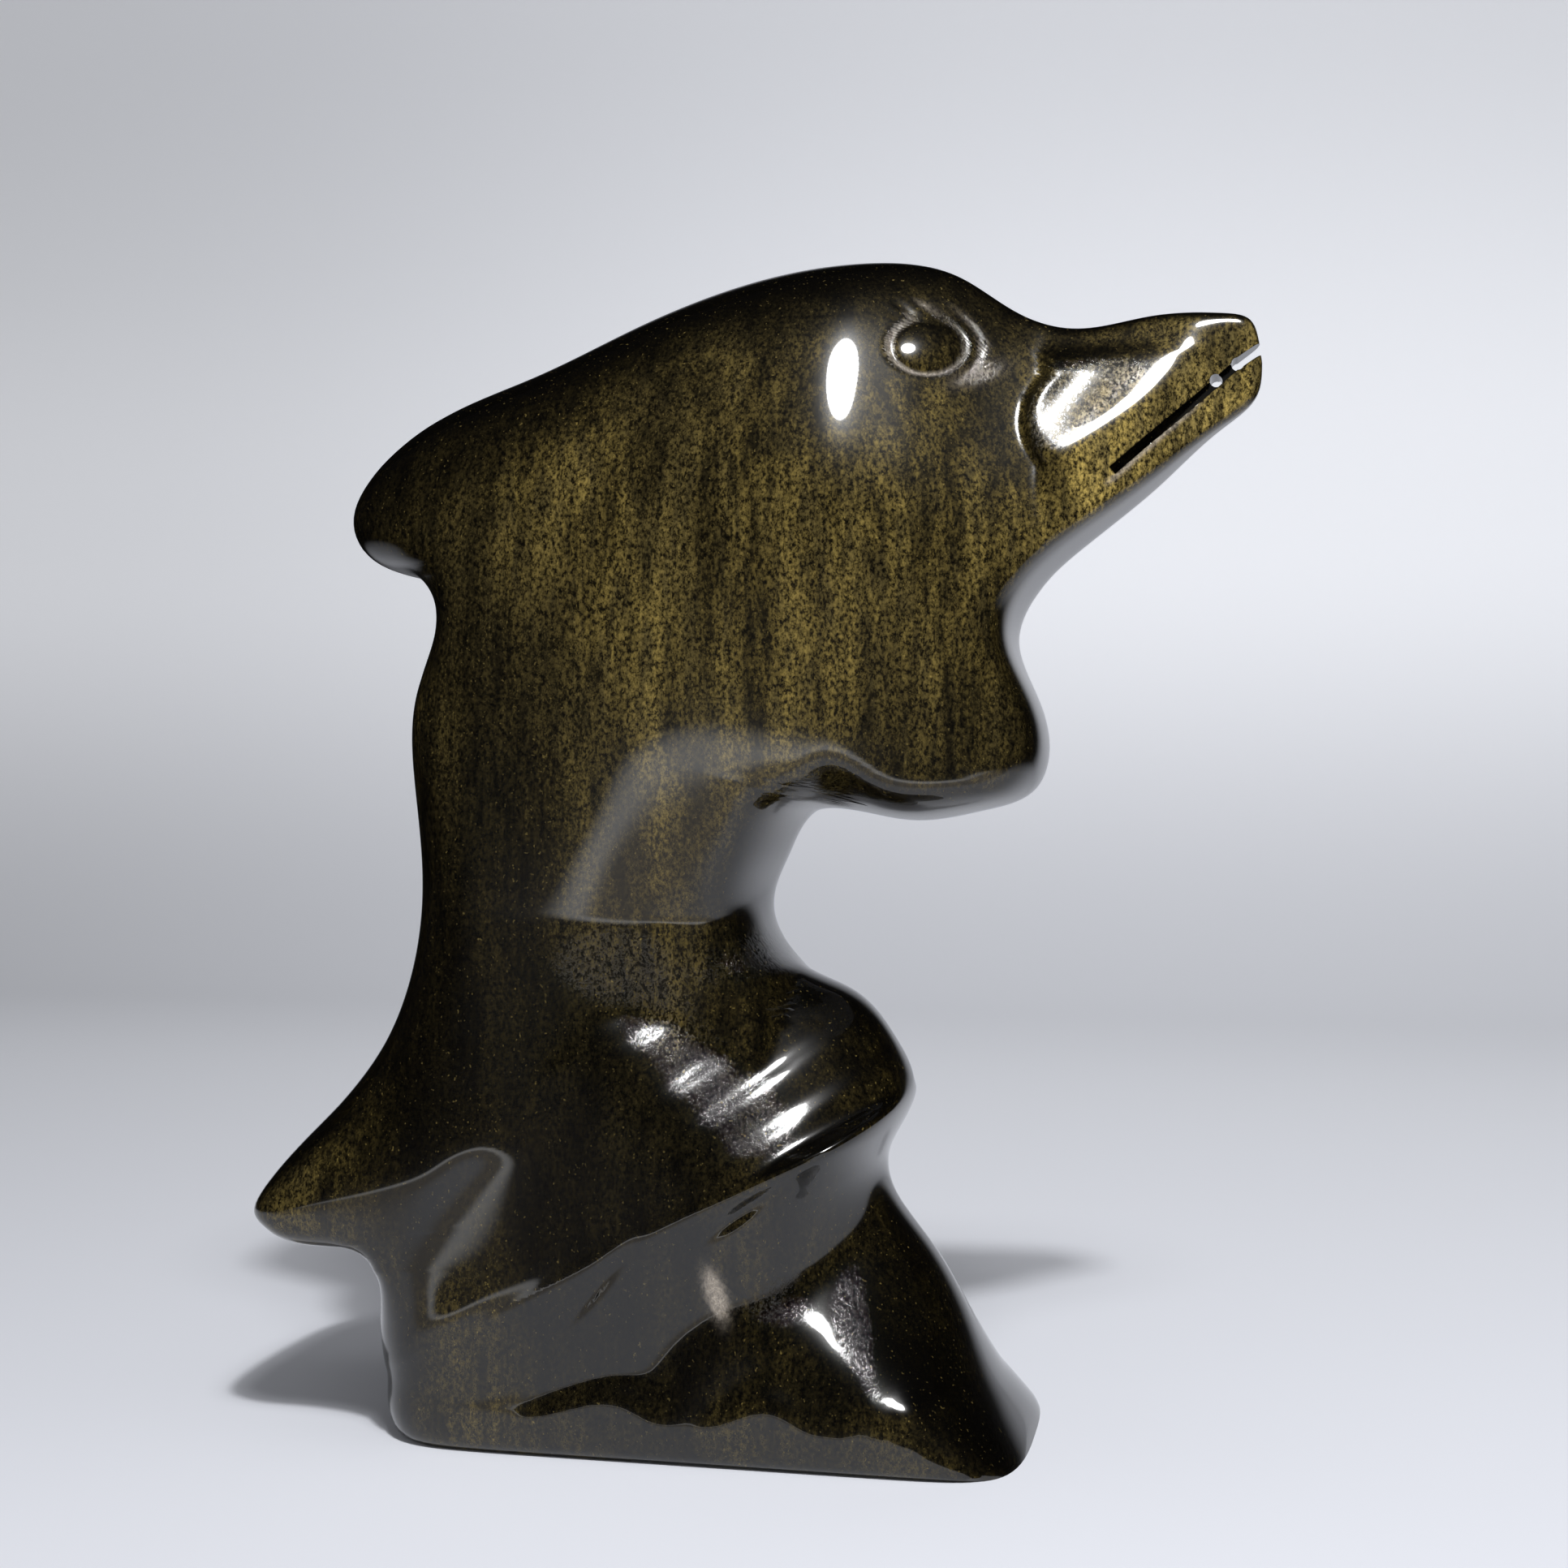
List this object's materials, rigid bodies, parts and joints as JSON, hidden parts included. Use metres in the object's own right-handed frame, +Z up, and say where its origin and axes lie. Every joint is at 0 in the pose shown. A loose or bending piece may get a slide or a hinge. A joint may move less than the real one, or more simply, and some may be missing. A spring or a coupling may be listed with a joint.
{
  "type": "dolphin figurine",
  "caption": "Carved and polished dark stone figurine of a dolphin leaping from a curling wave, with a flat foot that it stands on.",
  "frame": {"origin": "on the flat foot, in the middle plane of the slab, under the body of the dolphin", "axes": "+Z up, +X towards the beak, -Y and +Y out of the two carved faces"},
  "size_m": [0.0686, 0.0248, 0.08],
  "materials": {
    "polished_stone": "mirror polish"
  },
  "bodies": {
    "root": {"dolphin_figurine": "polished_stone"}
  },
  "joints": []
}
